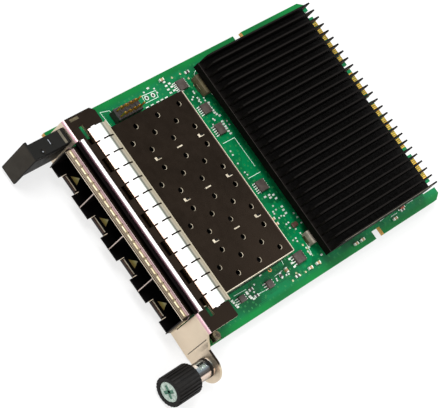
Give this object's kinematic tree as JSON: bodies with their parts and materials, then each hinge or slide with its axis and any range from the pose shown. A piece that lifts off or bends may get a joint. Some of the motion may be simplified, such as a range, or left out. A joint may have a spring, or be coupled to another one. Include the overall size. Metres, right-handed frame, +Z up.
{
  "type": "ethernet adapter card",
  "caption": "Network adapter card for a server bay: circuit board with edge contacts, finned heat sink, vented port cage, folded face plate, pull tab and captive thumbscrew.",
  "frame": {"origin": "centre of the card edge at the board's rear end, middle of the board's thickness", "axes": "+X to the right seen from the ports, +Y from the ports towards the card edge (the way the card is pushed in), +Z up from the board's component side"},
  "size_m": [0.0853, 0.1316, 0.0155],
  "materials": {
    "board_green": "solder mask",
    "gold": "polished",
    "cage_metal": "bright nickel",
    "sink_black": "black anodised",
    "screw_steel": "zinc",
    "chip_black": "moulded",
    "lid_metal": "nickel",
    "pad_grey": "soft",
    "plate_metal": "satin",
    "strip_metal": "bright",
    "knob_black": "fine ribs",
    "spring_steel": "bright",
    "tab_grey": "moulded",
    "inductor_grey": "matt",
    "capacitor_tan": "matt",
    "resistor_black": "matt"
  },
  "bodies": {
    "card": {"circuit_board": "board_green", "edge_contacts_top": "gold", "edge_contacts_bottom": "gold", "cage_tub": "cage_metal", "cage_cover": "cage_metal", "heat_sink": "sink_black", "heat_sink_screws": "screw_steel", "chip_package": "chip_black", "chip_lid": "lid_metal", "thermal_pad": "pad_grey", "face_plate": "plate_metal", "foot_screws": "screw_steel", "finger_strip": "strip_metal", "thumbscrew_sleeve": "screw_steel", "thumbscrew_spring": "spring_steel", "pull_tab": "tab_grey", "pull_tab_rivets": "screw_steel", "header_base": "chip_black", "header_pins": "gold", "inductor_left": "inductor_grey", "inductor_right": "inductor_grey", "capacitors": "capacitor_tan", "resistors": "resistor_black", "bus_switch": "chip_black", "memory_chip": "chip_black", "clock_chip": "chip_black", "regulator_one": "chip_black", "regulator_two": "chip_black", "port_switch_one": "chip_black", "port_switch_two": "chip_black", "mouth_strip_top": "strip_metal", "mouth_strip_left": "strip_metal", "mouth_strip_right": "strip_metal", "cage_divider_1": "cage_metal", "cage_divider_2": "cage_metal", "cage_divider_3": "cage_metal", "port_connector_1": "chip_black", "port_connector_2": "chip_black", "port_connector_3": "chip_black", "port_connector_4": "chip_black"},
    "ring": {"thumbscrew_ring": "spring_steel"},
    "knob": {"thumbscrew_knob": "knob_black", "thumbscrew_screw": "screw_steel"}
  },
  "joints": [
    {"name": "thumbscrew_slide", "type": "slide", "parent": "card", "child": "ring", "axis": [0, 1, 0], "range_m": [0, 0.0042], "stiffness_N_per_m": 400, "springref_m": -0.002, "deforming": ["thumbscrew_spring"]},
    {"name": "thumbscrew_turn", "type": "hinge", "parent": "ring", "child": "knob", "pos_m": [0.0423, -0.12, 0.00178], "axis": [0, 1, 0], "continuous": true}
  ]
}
